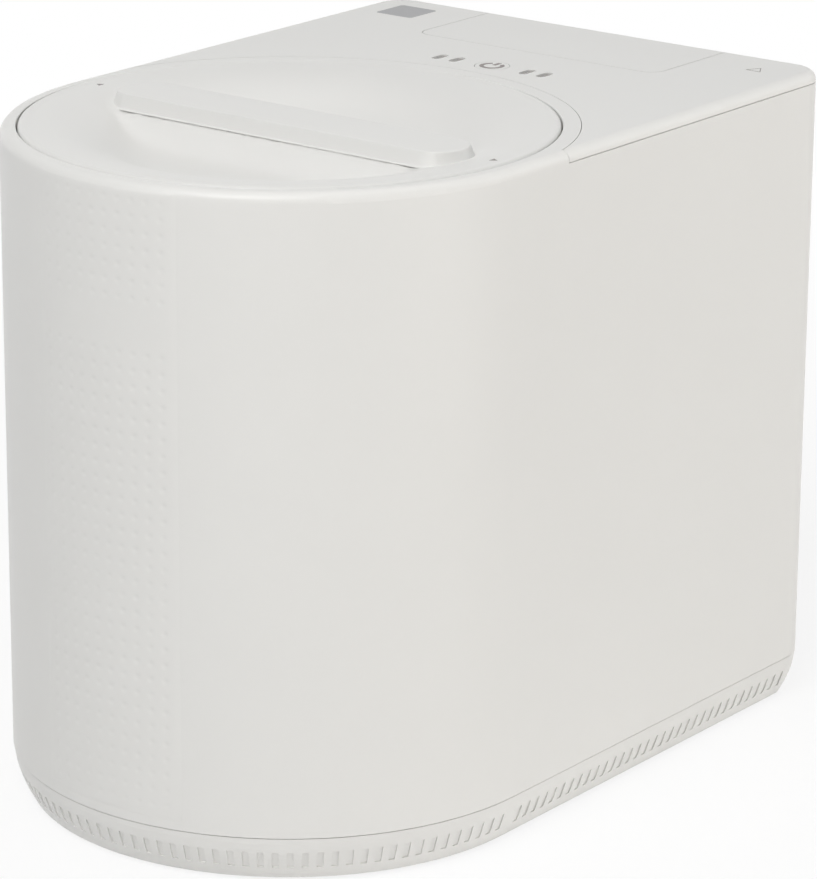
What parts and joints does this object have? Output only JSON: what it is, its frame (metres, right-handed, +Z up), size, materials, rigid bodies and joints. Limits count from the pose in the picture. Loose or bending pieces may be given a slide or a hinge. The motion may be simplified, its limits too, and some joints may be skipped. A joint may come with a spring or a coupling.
{
  "type": "food waste composter",
  "caption": "Free-standing kitchen machine with a round nose, a round twist lid with a bar handle, a flat deck with a power key, and a bucket, grinder and air filters inside.",
  "frame": {"origin": "on the surface it stands on, at the middle of its box", "axes": "+Z up, the round nose faces -Y, and the mains inlet is on the +X side of the back"},
  "size_m": [0.27, 0.3899, 0.331],
  "materials": {
    "housing_white": "fine matt off-white",
    "grey_plate": "satin grey",
    "lens_grey": "smoked lens",
    "rubber_black": "matt",
    "silicone_grey": "soft matt",
    "steel": "brushed",
    "bucket_metal": "coated matt",
    "bare_aluminium": "cast",
    "brass": "turned",
    "black_plastic": "moulded",
    "nylon": "natural",
    "inner_plastic": "moulded",
    "felt": "needled felt",
    "board_green": "lacquered",
    "carbon": "moulded",
    "motor_steel": "grey paint"
  },
  "bodies": {
    "housing": {"body_shell": "housing_white", "top_deck": "housing_white", "deck_plate": "grey_plate", "base_pan": "housing_white", "feet": "rubber_black", "base_screws": "steel", "back_panel": "housing_white", "back_screws": "steel", "inlet_socket": "black_plastic", "inlet_blades": "brass", "filter_case": "inner_plastic", "filter_seals": "rubber_black", "fan_frame": "black_plastic", "air_duct": "inner_plastic", "well_can": "steel", "insulation_sleeve": "felt", "bayonet_ring": "inner_plastic", "heater_plate": "bare_aluminium", "temp_sensor": "steel", "gear_case": "bare_aluminium", "gear_case_cover": "bare_aluminium", "cover_screws": "steel", "idler_pin": "steel", "lower_bush": "brass", "upper_bush": "brass", "spindle_seal": "rubber_black", "motor_can": "motor_steel", "motor_screws": "steel", "key_switch": "black_plastic", "dash_lenses": "lens_grey", "control_board": "board_green", "power_board": "board_green", "transformer": "black_plastic", "power_relay": "black_plastic", "heat_sink": "bare_aluminium", "capacitors": "black_plastic"},
    "lid_inner": {"lid_liner": "inner_plastic", "lid_gasket": "silicone_grey"},
    "lid_top": {"lid": "housing_white", "lid_handle": "housing_white", "handle_screws": "steel", "hub_screw": "steel"},
    "bucket_body": {"bucket": "bucket_metal", "bucket_base": "bucket_metal", "bucket_rim": "bucket_metal", "breaker_bars": "steel", "bucket_bush": "brass", "bucket_seal": "silicone_grey"},
    "bail": {"bucket_bail": "steel"},
    "grinder_body": {"grinder": "steel", "grinder_shaft": "steel"},
    "spindle_body": {"spindle": "steel", "drive_gear": "steel"},
    "idler": {"idler_gear": "nylon"},
    "rotor": {"motor_rotor": "steel"},
    "fan": {"fan_impeller": "black_plastic"},
    "key": {"power_key": "housing_white"},
    "hatch": {"rear_hatch": "housing_white"},
    "cartridge_left": {"filter_left": "carbon"},
    "cartridge_right": {"filter_right": "carbon"}
  },
  "joints": [
    {"name": "bucket_lift", "type": "slide", "parent": "housing", "child": "bucket_body", "axis": [0, 0, 1], "range_m": [0, 0.268]},
    {"name": "lid_lift", "type": "slide", "parent": "housing", "child": "lid_inner", "axis": [0, 0, 1], "range_m": [0, 0.536]},
    {"name": "lid_twist", "type": "hinge", "parent": "lid_inner", "child": "lid_top", "pos_m": [0, -0.06, 0.3285], "axis": [0, 0, 1], "range_deg": [-26, 0]},
    {"name": "bail_swing", "type": "hinge", "parent": "bucket_body", "child": "bail", "pos_m": [0, -0.06, 0.2995], "axis": [-1, 0, 0], "range_deg": [0, 90]},
    {"name": "spindle_spin", "type": "hinge", "parent": "housing", "child": "spindle_body", "pos_m": [0, -0.06, 0.0107], "axis": [0, 0, 1], "continuous": true},
    {"name": "grinder_spin", "type": "hinge", "parent": "bucket_body", "child": "grinder_body", "pos_m": [0, -0.06, 0.0843], "axis": [0, 0, 1], "continuous": true},
    {"name": "idler_spin", "type": "hinge", "parent": "housing", "child": "idler", "pos_m": [0, 0.014, 0.0107], "axis": [0, 0, 1], "continuous": true},
    {"name": "motor_spin", "type": "hinge", "parent": "housing", "child": "rotor", "pos_m": [0, 0.08, 0.0547], "axis": [0, 0, 1], "continuous": true},
    {"name": "fan_spin", "type": "hinge", "parent": "housing", "child": "fan", "pos_m": [0, 0.0806, 0.2625], "axis": [0, 1, 0], "continuous": true},
    {"name": "key_press", "type": "slide", "parent": "housing", "child": "key", "axis": [0, 0, -1], "range_m": [0, 0.001], "stiffness_N_per_m": 800},
    {"name": "cartridge_left_slide", "type": "slide", "parent": "housing", "child": "cartridge_left", "axis": [0, 1, 0], "range_m": [0, 0.084]},
    {"name": "cartridge_right_slide", "type": "slide", "parent": "housing", "child": "cartridge_right", "axis": [0, 1, 0], "range_m": [0, 0.084]},
    {"name": "hatch_slide", "type": "slide", "parent": "housing", "child": "hatch", "axis": [0, 1, 0], "range_m": [0, 0.1176]}
  ],
  "couplings": [
    {"joint": "lid_lift", "follows": "bucket_lift", "ratio": 2},
    {"joint": "bail_swing", "follows": "bucket_lift", "rad_per_m": 5.8611},
    {"joint": "grinder_spin", "follows": "spindle_spin", "ratio": 1},
    {"joint": "idler_spin", "follows": "spindle_spin", "ratio": -4.2857},
    {"joint": "motor_spin", "follows": "spindle_spin", "ratio": 22.653},
    {"joint": "cartridge_right_slide", "follows": "cartridge_left_slide", "ratio": 1},
    {"joint": "hatch_slide", "follows": "cartridge_left_slide", "ratio": 1.4}
  ]
}
